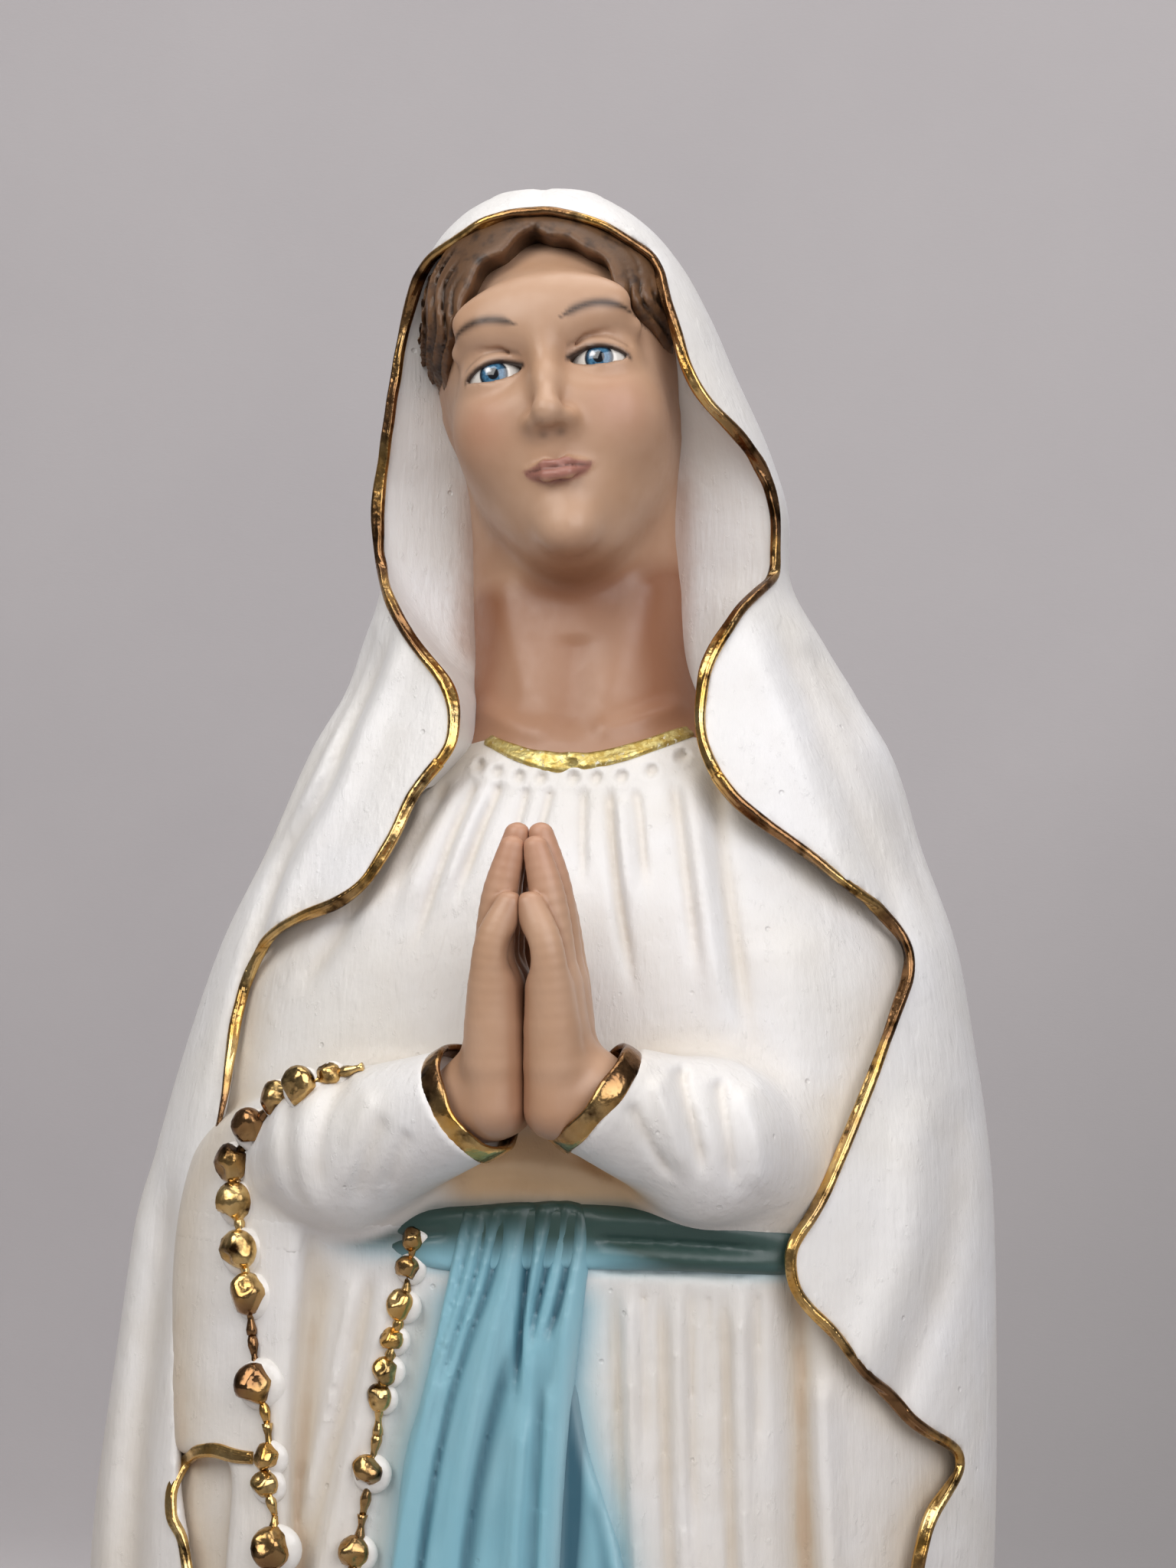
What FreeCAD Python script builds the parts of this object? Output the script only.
"""Standing madonna statue, 500 mm tall: hollow plaster castings on a plinth, with set-in eyes, hands on
wrist pins, a head on a neck pin, and raised ornament (hems, collar, cuffs, sash, rosary, roses).

Frame: origin at the middle of the plinth's underside, +Z up, the figure faces -Y, and +X is its left.
All sizes are millimetres. Outline tables are drawn on a figure 474 high, 160 wide and 112 deep, and follow
FIGURE_HEIGHT, FIGURE_WIDTH and FIGURE_DEPTH; walls, pins, gaps and ornament keep their own sizes.
"""
import FreeCAD
import Part
import math
import os

V = FreeCAD.Vector
os.makedirs("parts", exist_ok=True)

# ---- overall sizes ----
FIGURE_HEIGHT = 474.0
FIGURE_WIDTH = 160.0
FIGURE_DEPTH = 112.0
DRAWN_HEIGHT, DRAWN_WIDTH, DRAWN_DEPTH = 474.0, 160.0, 112.0  # the figure that the tables are drawn on

# ---- plinth and felt ----
FELT_THICK = 2.0
FELT_INSET = 2.5
PLINTH_THICK = 24.0
PLINTH_MARGIN_X = 4.0          # how far the plinth stands out past the figure, each side
PLINTH_MARGIN_Y = 14.0
PLINTH_STEP = 3.0              # the set-back of the plinth's upper edge
PLINTH_STEP_AT = 15.0          # height of the set-back above the plinth's underside
SPIGOT_HEIGHT = 6.0

# ---- castings ----
SEAT_GAP = 0.3                 # glue line between two castings
MANTLE_WALL = 3.2
GOWN_WALL = 10.0
CAVITY_TOP = 330.0             # top of the hollow, above the plinth
OPENING_BACK_Y = -8.0          # the mantle's front opening is cut back to this plane

# ---- ornament ----
HEM_RADIUS = 1.3
COLLAR_RADIUS = 1.2
CUFF_WALL = 1.2
CUFF_LENGTH = 4.5
SASH_THICK = 1.8
TAIL_THICK = 2.0
FALL_THICK = 3.0
BEAD_RADIUS = 3.4
SMALL_BEAD_RADIUS = 2.6
LARGE_BEAD_EVERY = 5
LINK_RADIUS = 0.7
LINK_GAP = 0.15                # air between a link and its beads
SHORTEST_LINK = 1.0
MEDAL_RADIUS, MEDAL_THICK, MEDAL_SEAT = 4.5, 2.0, 0.6
CROSS_LENGTH, CROSS_SPAN, CROSS_BAR = 20.0, 13.0, 3.0
CROSS_ARMS_UP = 0.12           # height of the arms' underside above the middle, as a share of the length
CROSS_STAND_OFF = 1.5

# ---- pins and sockets ----
NECK_PIN_RADIUS, NECK_PIN_LENGTH = 2.5, 44.0
NECK_PIN_BELOW = 16.0          # how far the pin runs on under the neck's spigot
NECK_SPIGOT_RADIUS, NECK_SPIGOT_LENGTH = 8.0, 12.0
SPIGOT_OVERLAP = 1.0           # how far the spigot runs up inside the neck
SPIGOT_HOLE_RISE = 8.0         # how far its hole runs up past the seat, to clear the shoulders
WRIST_PIN_RADIUS, WRIST_PIN_LENGTH = 1.5, 16.0
WRIST_PIN_SHARE = 0.75         # share of the wrist pin that is in the sleeve
WRIST_IN_SLEEVE, WRIST_IN_HAND = 8.0, 7.0
WRIST_GAP = 1.4                # air between the wrist and its cuff
SOCKET_MOUTH = 1.0             # how far the wrist's bore runs out past the sleeve's end
PIN_GAP = 0.05

# ---- head: middles are x, y and height above the plinth; sizes are half width, depth and height ----
SKULL_MIDDLE, SKULL_SIZE = (2.0, -1.0, 436.0), (21.5, 25.0, 27.0)
JAW_MIDDLE, JAW_SIZE = (2.0, -9.0, 421.0), (14.5, 15.0, 13.0)
NOSE_MIDDLE, NOSE_SIZE = (2.0, -25.5, 431.0), (2.6, 4.5, 6.5)
NECK_BASE, NECK_WAIST, NECK_TOP = (7.0, 0.0, 382.0), (5.5, 0.0, 398.0), (3.5, 0.0, 425.0)
NECK_RADIUS_BASE, NECK_RADIUS_TOP = 17.2, 13.0
EYE_RADIUS = 3.2
EYE_OFF, EYE_Y = 8.6, -21.5    # each eye's distance from the skull's middle, and its y
HAIR_THICK = 2.6
HAIRLINE_MIDDLE, HAIRLINE_SIZE = (2.0, -30.0, 428.0), (19.0, 22.0, 29.0)
HAIR_BACK_Y = 6.0
HAIR_LOW = 420.0

# ---- feet ----
RIGHT_FOOT_X, LEFT_FOOT_X = -12.0, 15.0
FOOT_Y, FOOT_SIZE = -53.0, (8.5, 17.0, 10.0)
FLOOR_BOX, FLOOR_FRONT = (60.0, 100.0, 40.0), -120.0   # the block that cuts each foot level with the plinth
ROSE_AHEAD, ROSE_RISE = 10.5, 9.7
ROSE_SIZE = (5.2, 4.4, 3.2)

ROUNDNESS = 2.3                # superellipse power of every body section
RING_POINTS = 32
SHELL_POINTS = 41
ARC_POINTS = 13
SECTION_STEP = 12.0            # spacing of the loft sections
SHOULDER_STEP = 4.0            # and over the gown's shoulders
LEAST_STEP = 0.5               # two sections are never closer than this
BOX = 400.0                    # side of a box that cuts away all that lies past a plane

PLINTH_TOP = FELT_THICK + PLINTH_THICK
UP = FIGURE_HEIGHT / DRAWN_HEIGHT
WIDE = FIGURE_WIDTH / DRAWN_WIDTH
DEEP = FIGURE_DEPTH / DRAWN_DEPTH

# Mantle outside: height above the plinth, half width, depth in front of and behind the axis, middle x.
MANTLE_FORM = [
    (0, 70, 60, 60, 0), (54, 73, 58, 58, 0), (114, 76, 56, 56, -2), (174, 79, 55, 54, -4),
    (231, 80, 54, 52, -3.5), (275, 77, 52, 48, 0), (303, 74, 50, 46, 2), (324, 69.5, 47, 44, 3.5),
    (342, 64.5, 44, 42, 5), (357, 58, 40, 39, 6), (375, 51, 34, 36, 7), (384, 45.5, 31, 34, 7),
    (393, 41, 29, 32, 6), (406, 36, 28, 31, 4.5), (415, 36.5, 28, 31, 4), (427, 34.2, 28, 31, 3),
    (441, 30, 27, 29, 1), (454, 25.6, 24, 25, -0.5), (464, 20, 19, 19, -1.5), (470, 13.5, 13, 13, -2),
    (473.6, 6, 6, 6, -2), (474, 5, 5, 5, -2),
]
DOME_HEIGHTS = (459, 464, 467.5, 470, 472, 473.3)
# Shoulders of the gown, from where it leaves the mantle's inside: same columns.
SHOULDER_FORM = [
    (345, 58, 39, 37, 5.5), (358, 48, 36, 32, 6.5), (368, 37, 30, 28, 7), (376, 25, 25, 24, 7),
    (381, 18, 20, 20, 7),
]
# The mantle's front edges, seen from the front: height above the plinth, x.
LEFT_EDGE = [
    (0, 56), (20, 57), (50, 54), (90, 60), (130, 55), (170, 60), (200, 57), (228, 64), (242, 65.5),
    (250, 67.5), (257, 72), (266, 64), (279, 54.5), (288, 47), (294, 46), (301, 50), (313, 55), (330, 61),
    (340, 63.5), (348, 59), (357, 48), (366, 36), (376, 30), (386, 29.5), (398, 34.5), (407, 40), (415, 40),
    (425, 36), (436, 27), (450, 22), (463, 16), (467, 10),
]
RIGHT_EDGE = [
    (0, -52), (35, -50), (75, -53), (115, -48), (155, -52), (190, -48), (225, -51), (244, -55), (250, -56.5),
    (262, -57), (280, -58), (297, -57), (311, -51.5), (329, -50), (339, -47), (345, -41), (349, -30),
    (358, -22), (367, -18), (377, -11.5), (385, -13), (394, -21), (407, -30), (421, -33), (429, -31),
    (442, -29), (452, -27.5), (461, -20), (467, -12),
]
ARCH_HEIGHT = 466              # the opening's top, over the forehead
NECK_HEIGHT = 372              # the veil's hem above it, the mantle's front hems below
ARM_HEIGHT = 305               # the right hem stops on the arm, and starts again at FOLD_HEIGHT
FOLD_HEIGHT = 255
# Ornament on the gown: x from and to, at a height above the plinth.
COLLAR = [(x, 374 + 4.5 * ((x - 7) / 17) ** 2) for x in range(-10, 25, 2)]
SASH_LOW, SASH_HIGH = 283, 298
SASH_BAND = [(-42, 41, SASH_LOW), (-42, 42, 290), (-42, 42, SASH_HIGH)]
TAIL_TOP = SASH_LOW - 0.4
RIGHT_TAIL = [(-9, 8, TAIL_TOP), (-12, 9, 265), (-19, 9, 240), (-24, 9, 200), (-27, 8, 160), (-28, 6, 130)]
LEFT_TAIL = [(9, 14, TAIL_TOP), (10, 15, 265), (10, 20, 240), (11, 26, 200), (12, 29, 160), (12, 30, 112)]
FALL_LOW = 259
FALL_LEAD = 5                  # a strand starts to rise over the fall this far below it
HAND_LOW = 290                 # the hands and wrists reach down to here
SLEEVE_FALL = [(-53, -43, FALL_LOW), (-54, -43, 275), (-54, -43, 292), (-49, -43, 300)]
# Sleeves and hands: x, y and height above the plinth at the elbow, mid forearm and cuff, then radius.
RIGHT_ARM = [(-36, -31, 302, 12.5), (-22, -46, 307, 12.0), (-5, -57, 317, 9.8)]
LEFT_ARM = [(34, -34, 300, 12.5), (28, -46, 305, 12.0), (18, -57, 317, 9.8)]
HAND_MIDDLE_X = 6.8
# Palm sections: height above the plinth, thickness of one hand, half breadth front to back, middle y.
HAND_FORM = [
    (319, 8.5, 8.0, -59), (325, 9.0, 8.5, -59), (335, 8.5, 9.5, -60), (347, 7.0, 9.0, -60),
    (357, 4.5, 6.0, -60), (362, 2.2, 3.0, -60),
]
# Rosary strands on the figure's right: x and height above the plinth.
OUTER_STRAND = [
    (-38, 318), (-47, 310), (-49, 296), (-48, 280), (-46, 262), (-44, 240), (-41, 218), (-38, 199),
]
INNER_STRAND = [(-20, 277), (-22, 266), (-25, 250), (-27, 230), (-29, 212), (-31, 200)]
BEADS_IN_OUTER, BEADS_IN_INNER = 15, 10
MEDAL_AT = (-35, 190)
CROSS_AT = (-35, 170)


def lift(height):
    """Height above the ground of a height drawn above the plinth."""
    return PLINTH_TOP + height * UP


def table_at(table, height):
    """Values of a table at a height, along a smooth curve through its rows."""
    rows = sorted(table)
    if height <= rows[0][0]:
        return list(rows[0][1:])
    if height >= rows[-1][0]:
        return list(rows[-1][1:])
    i = max(k for k in range(len(rows) - 1) if rows[k][0] <= height)
    low, high = rows[i], rows[i + 1]
    before, after = rows[max(i - 1, 0)], rows[min(i + 2, len(rows) - 1)]
    span = high[0] - low[0]
    t = (height - low[0]) / span
    found = []
    for k in range(1, len(low)):
        slope = (high[k] - low[k]) / span
        back = (low[k] - before[k]) / (low[0] - before[0]) if low is not before else slope
        ahead = (after[k] - high[k]) / (after[0] - high[0]) if high is not after else slope
        m0 = 0.0 if back * slope <= 0 else 2 * back * slope / (back + slope)
        m1 = 0.0 if ahead * slope <= 0 else 2 * ahead * slope / (ahead + slope)
        found.append(low[k] * (1 + 2 * t) * (1 - t) ** 2 + span * m0 * t * (1 - t) ** 2
                     + high[k] * t * t * (3 - 2 * t) + span * m1 * t * t * (t - 1))
    return found


def mantle(height, shrink=0.0):
    """Half width, front depth, back depth and middle x of the mantle, taken in by shrink."""
    half, front, back, middle = table_at(MANTLE_FORM, height)
    return half * WIDE - shrink, front * DEEP - shrink, back * DEEP - shrink, middle * WIDE


def mantle_inside(height):
    return mantle(height, MANTLE_WALL)


def gown(height, grow=0.0):
    """The same for the gown, which fills the mantle up to the shoulders."""
    if height <= SHOULDER_FORM[0][0]:
        return mantle(height, MANTLE_WALL + SEAT_GAP - grow)
    half, front, back, middle = table_at(SHOULDER_FORM, height)
    inside = mantle(height, MANTLE_WALL + SEAT_GAP - grow)
    return (min(half * WIDE + grow, inside[0]), min(front * DEEP + grow, inside[1]),
            min(back * DEEP + grow, inside[2]), middle * WIDE)


def at_angle(section, turn):
    """The point of a section at an angle from the front, turning towards +X."""
    half, front, back, middle = section
    s, c = math.sin(turn), math.cos(turn)
    depth = front if c > 0 else back
    reach = (abs(s / half) ** ROUNDNESS + abs(c / depth) ** ROUNDNESS) ** (-1 / ROUNDNESS)
    return middle + reach * s, -reach * c


def front_y(section, x):
    """y of a section's front at x, or None where x is past its side."""
    half, front, _, middle = section
    share = abs((x - middle) / half)
    return None if share >= 1 else -front * (1 - share ** ROUNDNESS) ** (1 / ROUNDNESS)


def ring(section, z):
    """A body section as a closed smooth wire, with its seam at the back."""
    turns = [math.pi + 2 * math.pi * i / RING_POINTS for i in range(RING_POINTS)]
    points = [V(*at_angle(section, turn), z) for turn in turns]
    curve = Part.BSplineCurve()
    curve.interpolate(points, PeriodicFlag=True)
    return Part.Wire([curve.toShape()])


def spaced(low, high, step=SECTION_STEP):
    """Even heights from low up to, but not including, high."""
    count = max(2, round((high - low) / step))
    return [low + (high - low) * i / count for i in range(count)]


def levels_to(high):
    """Section heights that every body form shares, closer together at the shoulders and the dome."""
    low_shoulder, top_shoulder = SHOULDER_FORM[0][0], SHOULDER_FORM[-1][0]
    levels = spaced(0.0, low_shoulder) + spaced(low_shoulder, top_shoulder, SHOULDER_STEP)
    levels += spaced(top_shoulder, DOME_HEIGHTS[0]) + list(DOME_HEIGHTS)
    return [h for h in levels if h < high - LEAST_STEP] + [high]


def body_loft(form, levels):
    """A closed solid through a form's sections."""
    return Part.makeLoft([ring(form(h), lift(h)) for h in levels], True, False)


def biggest(shape):
    """The largest solid of a cut's result: slivers that a cut leaves are dropped."""
    return max(shape.Solids, key=lambda s: s.Volume)


def spline_edge(points):
    curve = Part.BSplineCurve()
    curve.interpolate([V(*p) for p in points])
    return curve.toShape()


def sheet_wire(near, far):
    """The closed section of a sheet between two lines of points."""
    return Part.Wire([spline_edge(near), Part.makeLine(V(*near[-1]), V(*far[-1])),
                      spline_edge(far[::-1]), Part.makeLine(V(*far[0]), V(*near[0]))])


def patch(form, rows, gap, thick):
    """A sheet of even thickness on a form's front. rows: x from, x to, height."""
    wires = []
    for left, right, height in sorted(rows, key=lambda r: r[2]):
        z = lift(height)
        sides = []
        for out in (gap, gap + thick):
            section = form(height, out)
            xs = [(left + (right - left) * i / (ARC_POINTS - 1)) * WIDE for i in range(ARC_POINTS)]
            sides.append([(x, front_y(section, x), z) for x in xs])
        wires.append(sheet_wire(*sides))
    return Part.makeLoft(wires, True, False)


def outward(form, point):
    """Unit direction out of a form's front surface at a point that is on or near it."""
    def level(x, y, z):
        half, front, back, middle = form((z - PLINTH_TOP) / UP)
        depth = front if y < 0 else back
        return abs((x - middle) / half) ** ROUNDNESS + abs(y / depth) ** ROUNDNESS
    nudge = 0.2
    x, y, z = point
    slope = V(level(x + nudge, y, z) - level(x - nudge, y, z),
              level(x, y + nudge, z) - level(x, y - nudge, z),
              level(x, y, z + nudge) - level(x, y, z - nudge))
    return slope.normalize()


def edge_turn(edge, height):
    """Angle from the front of the mantle's edge, on its front or cut back to the opening's plane."""
    section = mantle(height)
    half, front, _, middle = section
    across = table_at(edge, height)[0] * WIDE - middle
    side = 1 if edge is LEFT_EDGE else -1
    limit = half * (1 - abs(OPENING_BACK_Y / front) ** ROUNDNESS) ** (1 / ROUNDNESS)
    if abs(across) >= limit:
        return math.atan2(side * limit, -OPENING_BACK_Y)
    return math.atan2(across, -front_y(section, middle + across))


def on_edge(edge, height):
    """The point of the mantle's edge at a height."""
    return (*at_angle(mantle(height), edge_turn(edge, height)), lift(height))


def on_gown(x, height):
    """The point of the gown's front at x and a height."""
    return (x * WIDE, front_y(gown(height), x * WIDE), lift(height))


def raised_line(spots, form, radius):
    """A round line lying on the outside of a form, past the given points of its surface."""
    return tube([V(*spot) + outward(form, spot) * (radius + SEAT_GAP) for spot in spots], radius)


def hem(edge, low, high):
    """A raised hem along the mantle's edge between two heights."""
    levels = [row[0] for row in edge if low < row[0] < high]
    return raised_line([on_edge(edge, h) for h in levels], mantle, HEM_RADIUS)


def veil_hem():
    """The hem round the veil's opening, over the forehead from one side of the neck to the other."""
    left = [on_edge(LEFT_EDGE, h) for h, _ in LEFT_EDGE if h > NECK_HEIGHT]
    right = [on_edge(RIGHT_EDGE, h) for h, _ in RIGHT_EDGE if h > NECK_HEIGHT]
    return raised_line(left + right[::-1], mantle, HEM_RADIUS)


def tube(path, radius):
    """A round bar along a smooth path."""
    curve = Part.BSplineCurve()
    curve.interpolate(path)
    spine = curve.toShape()
    start, along = curve.value(curve.FirstParameter), V(*curve.tangent(curve.FirstParameter)[0])
    profile = Part.Wire([Part.makeCircle(radius, start, along)])
    return Part.Wire([spine]).makePipeShell([profile], True, True)


def bar(start, end, radius):
    """A straight round bar between two points."""
    along = end - start
    return Part.makeCylinder(radius, along.Length, start, along)


def ellipsoid(middle, half_x, half_y, half_z):
    scale = FreeCAD.Matrix()
    scale.scale(half_x, half_y, half_z)
    shape = Part.makeSphere(1.0).transformGeometry(scale)
    shape.translate(V(*middle))
    return shape


def place(x, y, height):
    return V(x * WIDE, y * DEEP, lift(height))


def egg(middle, size, grow=0.0):
    """An ellipsoid drawn on the standard figure, which follows its three sizes."""
    half_x, half_y, half_z = size
    return ellipsoid(place(*middle), (half_x + grow) * WIDE, (half_y + grow) * DEEP, (half_z + grow) * UP)


# ---- plinth ----
def plinth_section(inset, z):
    half = FIGURE_WIDTH / 2 + PLINTH_MARGIN_X - inset
    deep = max(MANTLE_FORM[0][2:4]) * DEEP + PLINTH_MARGIN_Y - inset
    return ring((half, deep, deep, 0.0), z)


def plinth_layer(inset, low, high):
    return Part.makeLoft([plinth_section(inset, low), plinth_section(inset, high)], True, True)


def cavity_section(height, gap=0.0):
    return gown(height, -GOWN_WALL - gap)


def make_plinth():
    step = FELT_THICK + PLINTH_STEP_AT
    low = plinth_layer(0.0, FELT_THICK, step)
    high = plinth_layer(PLINTH_STEP, step, PLINTH_TOP)
    base = cavity_section(0.0, SEAT_GAP)
    spigot = Part.makeLoft([ring(base, PLINTH_TOP), ring(base, PLINTH_TOP + SPIGOT_HEIGHT)], True, True)
    return low.fuse([high, spigot]).removeSplitter()


def make_felt():
    return plinth_layer(FELT_INSET, 0.0, FELT_THICK)


# ---- body castings ----
def make_gown_outside():
    return body_loft(gown, levels_to(SHOULDER_FORM[-1][0]))


def make_cavity():
    return body_loft(cavity_section, levels_to(CAVITY_TOP))


def arc(section, start, end, count, z):
    """Evenly turned points of a section between two angles."""
    return [(*at_angle(section, start + (end - start) * i / (count - 1)), z) for i in range(count)]


def mantle_section(height):
    """The mantle's wall at a height, as a closed wire that is open towards the front."""
    start, end = edge_turn(LEFT_EDGE, height), edge_turn(RIGHT_EDGE, height) + 2 * math.pi
    outer = arc(mantle(height), start, end, SHELL_POINTS, lift(height))
    inner = arc(mantle_inside(height), start, end, SHELL_POINTS, lift(height))
    return sheet_wire(outer, inner)


def crown_section(height):
    """A whole section of the crown, in two arcs that meet at the opening's upper corners."""
    start = edge_turn(LEFT_EDGE, ARCH_HEIGHT)
    end = edge_turn(RIGHT_EDGE, ARCH_HEIGHT) + 2 * math.pi
    back = arc(mantle(height), start, end, SHELL_POINTS, lift(height))
    front = arc(mantle(height), end, start + 2 * math.pi, ARC_POINTS, lift(height))
    return Part.Wire([spline_edge(back), spline_edge(front)])


def make_mantle():
    """The shell that stands round the gown and head, closed by a solid crown."""
    shell = Part.makeLoft([mantle_section(h) for h in levels_to(ARCH_HEIGHT)], True, False)
    dome = [h for h in levels_to(MANTLE_FORM[-1][0]) if h > ARCH_HEIGHT + LEAST_STEP]
    crown = Part.makeLoft([crown_section(h) for h in [ARCH_HEIGHT] + dome], True, False)
    return shell.fuse(crown)


# ---- head ----
def make_head():
    low = place(*NECK_BASE)
    rings = []
    sections = ((NECK_RADIUS_BASE, NECK_BASE), (NECK_RADIUS_TOP, NECK_WAIST), (NECK_RADIUS_TOP, NECK_TOP))
    for radius, middle in sections:
        rings.append(Part.Wire([Part.makeCircle(radius, place(*middle), V(0, 0, 1))]))
    neck = Part.makeLoft(rings, True, False)
    spigot = Part.makeCylinder(NECK_SPIGOT_RADIUS, NECK_SPIGOT_LENGTH + SPIGOT_OVERLAP,
                               low - V(0, 0, NECK_SPIGOT_LENGTH))
    skull = egg(SKULL_MIDDLE, SKULL_SIZE)
    head = skull.fuse([egg(JAW_MIDDLE, JAW_SIZE), egg(NOSE_MIDDLE, NOSE_SIZE), neck, spigot])
    return head.cut(neck_pin(PIN_GAP)).cut(eye(-1, PIN_GAP)).cut(eye(1, PIN_GAP))


def neck_pin(gap=0.0):
    low = place(*NECK_BASE) - V(0, 0, NECK_SPIGOT_LENGTH + NECK_PIN_BELOW + gap)
    return Part.makeCylinder(NECK_PIN_RADIUS + gap, NECK_PIN_LENGTH + 2 * gap, low)


def eye(side, gap=0.0):
    middle = place(SKULL_MIDDLE[0] + side * EYE_OFF, EYE_Y, SKULL_MIDDLE[2])
    return Part.makeSphere(EYE_RADIUS * min(WIDE, DEEP, UP) + gap, middle)


def make_hair(head):
    """A cap on the skull, open over the face, that stops inside the veil."""
    cap = egg(SKULL_MIDDLE, SKULL_SIZE, HAIR_THICK).cut(head).cut(egg(HAIRLINE_MIDDLE, HAIRLINE_SIZE))
    behind = Part.makeBox(BOX, BOX, BOX, V(-BOX / 2, HAIR_BACK_Y * DEEP, lift(HAIR_LOW) - BOX / 2))
    below = Part.makeBox(BOX, BOX, BOX, V(-BOX / 2, -BOX / 2, lift(HAIR_LOW) - BOX))
    return biggest(cap.cut(behind).cut(below))


# ---- arms and hands ----
def arm_points(arm):
    return [place(x, y, h) for x, y, h, _ in arm]


def make_sleeve(arm, around):
    points = arm_points(arm)
    ends = [points[1] - points[0], points[2] - points[0], points[2] - points[1]]
    rings = [Part.Wire([Part.makeCircle(row[3], p, along)]) for row, p, along in zip(arm, points, ends)]
    sleeve = Part.makeLoft(rings, True, False).cut(wrist_socket(arm))
    for shape in around:
        sleeve = biggest(sleeve.cut(shape))
    return sleeve


def make_cuff(arm):
    points = arm_points(arm)
    along = (points[2] - points[1]).normalize()
    start = points[2] + along * SEAT_GAP
    outer = Part.makeCylinder(arm[2][3], CUFF_LENGTH, start, along)
    return outer.cut(Part.makeCylinder(arm[2][3] - CUFF_WALL, CUFF_LENGTH, start, along))


def make_hand(side, arm):
    """One joined hand with a flat palm: side -1 is the figure's right hand."""
    middle = HAND_MIDDLE_X * WIDE
    wires = []
    for height, thick, breadth, y in HAND_FORM:
        z, deep = lift(height), y * DEEP
        inner = middle + side * SEAT_GAP / 2
        face = [V(inner, deep + breadth, z), V(inner, deep - breadth, z)]
        bulge = V(inner + side * thick, deep, z)
        back = Part.Arc(face[1], bulge, face[0]).toShape()
        wires.append(Part.Wire([Part.makeLine(face[0], face[1]), back]))
    palm = Part.makeLoft(wires, True, False)
    cuff, elbow = arm_points(arm)[2], arm_points(arm)[1]
    inward = (cuff - elbow).normalize()
    radius = arm[2][3] - CUFF_WALL - WRIST_GAP
    wrist = bar(cuff - inward * WRIST_IN_SLEEVE, cuff + inward * WRIST_IN_HAND, radius)
    keep_from = middle + side * SEAT_GAP / 2 - (BOX if side < 0 else 0)
    keep = Part.makeBox(BOX, BOX, BOX, V(keep_from, -BOX / 2, lift(HAND_LOW)))
    return biggest(palm.fuse(wrist).common(keep).cut(wrist_pin(arm, PIN_GAP)).cut(make_cuff(arm)))


def wrist_pin(arm, gap=0.0):
    cuff, elbow = arm_points(arm)[2], arm_points(arm)[1]
    inward = (cuff - elbow).normalize()
    start = cuff - inward * (WRIST_PIN_LENGTH * WRIST_PIN_SHARE + gap)
    return bar(start, start + inward * (WRIST_PIN_LENGTH + 2 * gap), WRIST_PIN_RADIUS + gap)


def wrist_socket(arm):
    """The sleeve's end: a bore for the wrist and a narrower one for its pin."""
    cuff, elbow = arm_points(arm)[2], arm_points(arm)[1]
    inward = (cuff - elbow).normalize()
    radius = arm[2][3] - CUFF_WALL - WRIST_GAP + SEAT_GAP
    wide = bar(cuff - inward * (WRIST_IN_SLEEVE + SEAT_GAP), cuff + inward * SOCKET_MOUTH, radius)
    return wide.fuse(wrist_pin(arm, PIN_GAP))


# ---- rosary ----
def strand(points, count, over_fall):
    """Evenly spaced places for beads along a strand that lies on the gown, or on the sleeve's fall."""
    path = []
    for x, height in points:
        spot = on_gown(x, height)
        fall = FALL_THICK + SEAT_GAP if over_fall and height > FALL_LOW - FALL_LEAD else 0.0
        path.append(V(*spot) + outward(gown, spot) * (fall + BEAD_RADIUS + SEAT_GAP))
    curve = Part.BSplineCurve()
    curve.interpolate(path)
    return curve.discretize(Number=count)


def make_beads(strands):
    beads = []
    for places in strands:
        for i, p in enumerate(places):
            large = (i + 1) % LARGE_BEAD_EVERY == 0
            beads.append(Part.makeSphere(BEAD_RADIUS if large else SMALL_BEAD_RADIUS, p))
    return Part.makeCompound(beads)


def make_links(strands):
    links = []
    for places in strands:
        for a, b in zip(places, places[1:]):
            along = (b - a).normalize()
            clear = BEAD_RADIUS + LINK_GAP
            if (b - a).Length > 2 * clear + SHORTEST_LINK:
                links.append(bar(a + along * clear, b - along * clear, LINK_RADIUS))
    return Part.makeCompound(links)


def make_medal():
    x, height = MEDAL_AT
    spot = on_gown(x, height)
    out = outward(gown, spot)
    return Part.makeCylinder(MEDAL_RADIUS, MEDAL_THICK, V(*spot) + out * MEDAL_SEAT, out)


def make_cross():
    x, height = CROSS_AT
    y = on_gown(x, height)[1] - SEAT_GAP - CROSS_BAR - CROSS_STAND_OFF
    low = V(x * WIDE - CROSS_BAR / 2, y, lift(height) - CROSS_LENGTH / 2)
    post = Part.makeBox(CROSS_BAR, CROSS_BAR, CROSS_LENGTH, low)
    arms = Part.makeBox(CROSS_SPAN, CROSS_BAR, CROSS_BAR,
                        V(x * WIDE - CROSS_SPAN / 2, y, lift(height) + CROSS_LENGTH * CROSS_ARMS_UP))
    return post.fuse(arms).removeSplitter()


# ---- feet ----
def make_foot(x, body):
    foot = ellipsoid(place(x, FOOT_Y, 0), *FOOT_SIZE)
    floor = Part.makeBox(*FLOOR_BOX, V(x * WIDE - FLOOR_BOX[0] / 2, FLOOR_FRONT, PLINTH_TOP - FLOOR_BOX[2]))
    return biggest(foot.cut(floor).cut(body))


def make_rose(x, body):
    rose = ellipsoid(place(x, FOOT_Y - ROSE_AHEAD, 0) + V(0, 0, ROSE_RISE), *ROSE_SIZE)
    return biggest(rose.cut(make_foot(x, body)).cut(body))


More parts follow.
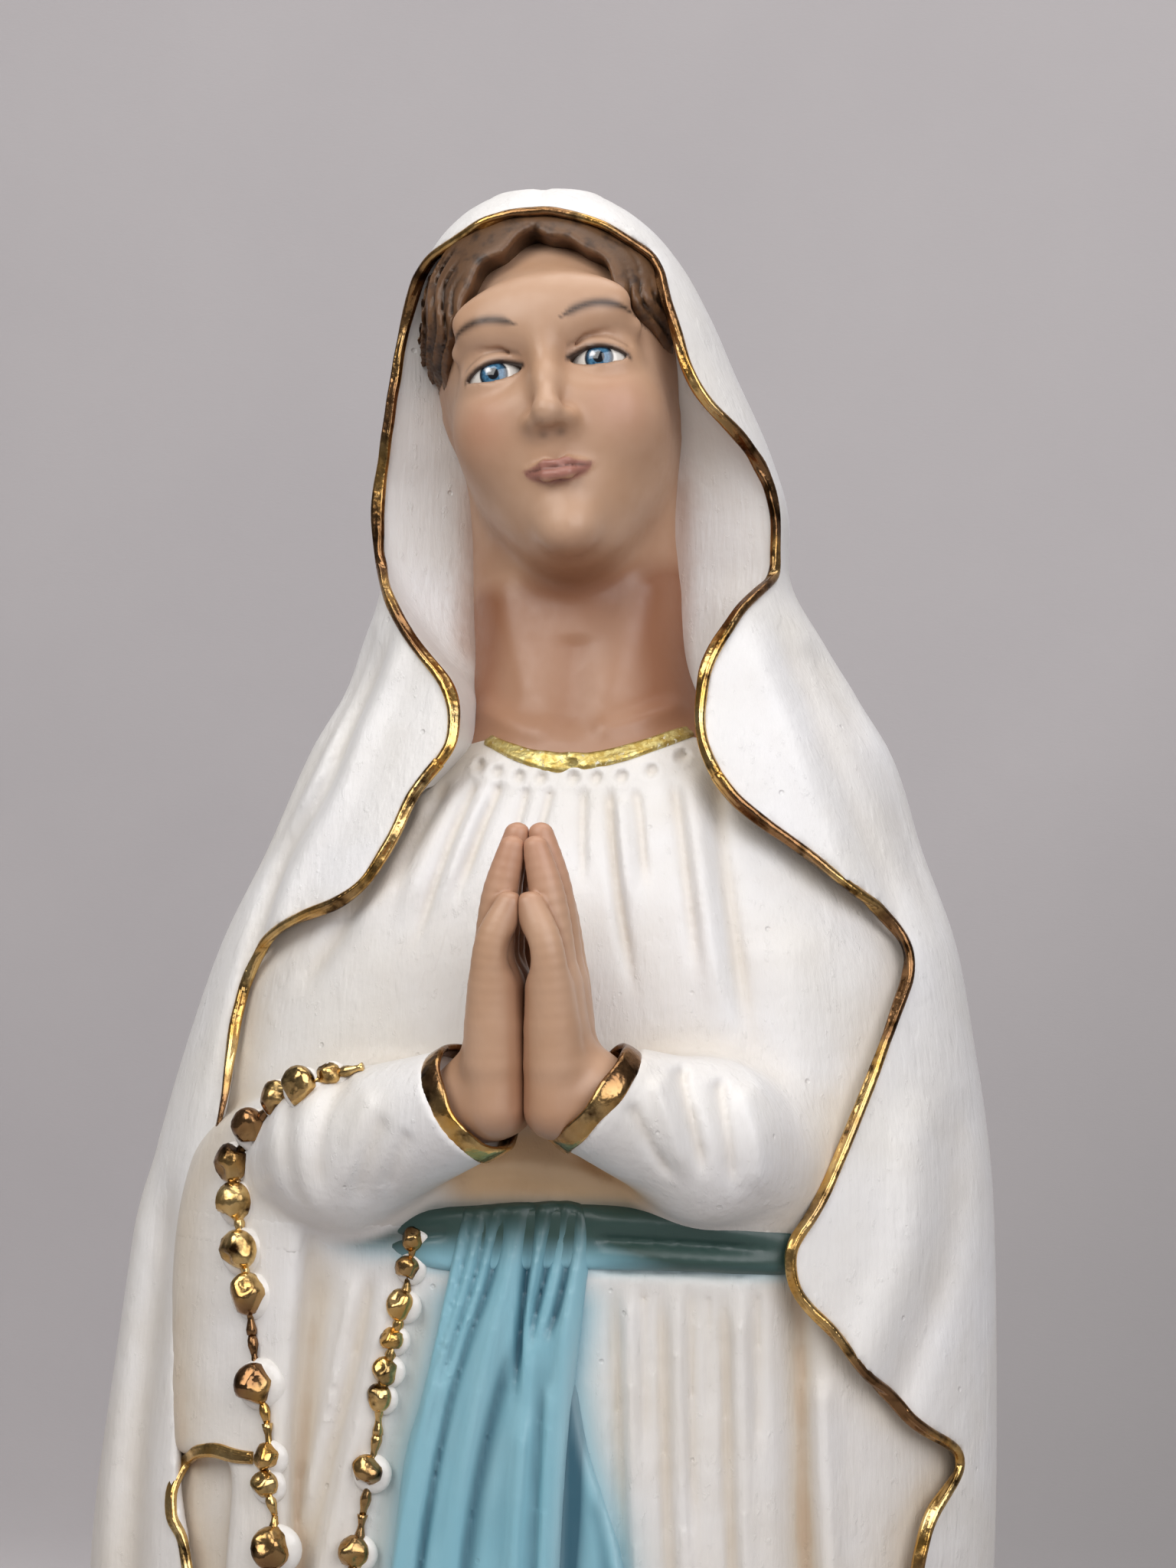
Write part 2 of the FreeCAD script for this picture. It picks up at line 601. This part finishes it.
def build():
    body = make_gown_outside()
    spigot_hole = Part.makeCylinder(NECK_SPIGOT_RADIUS + SEAT_GAP, NECK_SPIGOT_LENGTH + SPIGOT_HOLE_RISE,
                                    place(*NECK_BASE) - V(0, 0, NECK_SPIGOT_LENGTH + SEAT_GAP))
    casting = body.cut(make_cavity()).cut(spigot_hole).cut(neck_pin(PIN_GAP))
    head = biggest(make_head().cut(casting))
    outer = strand(OUTER_STRAND, BEADS_IN_OUTER, True)
    inner = strand(INNER_STRAND, BEADS_IN_INNER, False)
    band = patch(gown, SASH_BAND, SEAT_GAP, SASH_THICK)
    fall = patch(gown, SLEEVE_FALL, SEAT_GAP, FALL_THICK)
    around = [body, band, fall]
    return {
        "plinth": make_plinth(),
        "felt_pad": make_felt(),
        "gown_casting": biggest(casting),
        "mantle_casting": make_mantle(),
        "head_casting": head,
        "hair": make_hair(head),
        "right_eye": eye(-1),
        "left_eye": eye(1),
        "neck_pin": neck_pin(),
        "right_sleeve": make_sleeve(RIGHT_ARM, around),
        "left_sleeve": make_sleeve(LEFT_ARM, around),
        "right_cuff": make_cuff(RIGHT_ARM),
        "left_cuff": make_cuff(LEFT_ARM),
        "right_hand": make_hand(-1, RIGHT_ARM),
        "left_hand": make_hand(1, LEFT_ARM),
        "right_wrist_pin": wrist_pin(RIGHT_ARM),
        "left_wrist_pin": wrist_pin(LEFT_ARM),
        "veil_hem": veil_hem(),
        "left_mantle_hem": hem(LEFT_EDGE, -1, NECK_HEIGHT),
        "right_mantle_hem": hem(RIGHT_EDGE, ARM_HEIGHT, NECK_HEIGHT),
        "right_lower_hem": hem(RIGHT_EDGE, -1, FOLD_HEIGHT),
        "collar_band": biggest(raised_line([on_gown(*p) for p in COLLAR], gown, COLLAR_RADIUS).cut(body)),
        "sash_band": band,
        "sash_right_tail": patch(gown, RIGHT_TAIL, SEAT_GAP, TAIL_THICK),
        "sash_left_tail": patch(gown, LEFT_TAIL, SEAT_GAP, TAIL_THICK),
        "sleeve_fall": fall,
        "rosary_beads": make_beads([outer, inner]),
        "rosary_links": make_links([outer, inner]),
        "rosary_medal": make_medal(),
        "rosary_cross": make_cross(),
        "right_foot": make_foot(RIGHT_FOOT_X, body),
        "left_foot": make_foot(LEFT_FOOT_X, body),
        "right_rose": make_rose(RIGHT_FOOT_X, body),
        "left_rose": make_rose(LEFT_FOOT_X, body),
    }


for name, shape in build().items():
    shape.exportStep("parts/" + name + ".step")
    print(name, len(shape.Solids), shape.isValid(), round(shape.Volume))
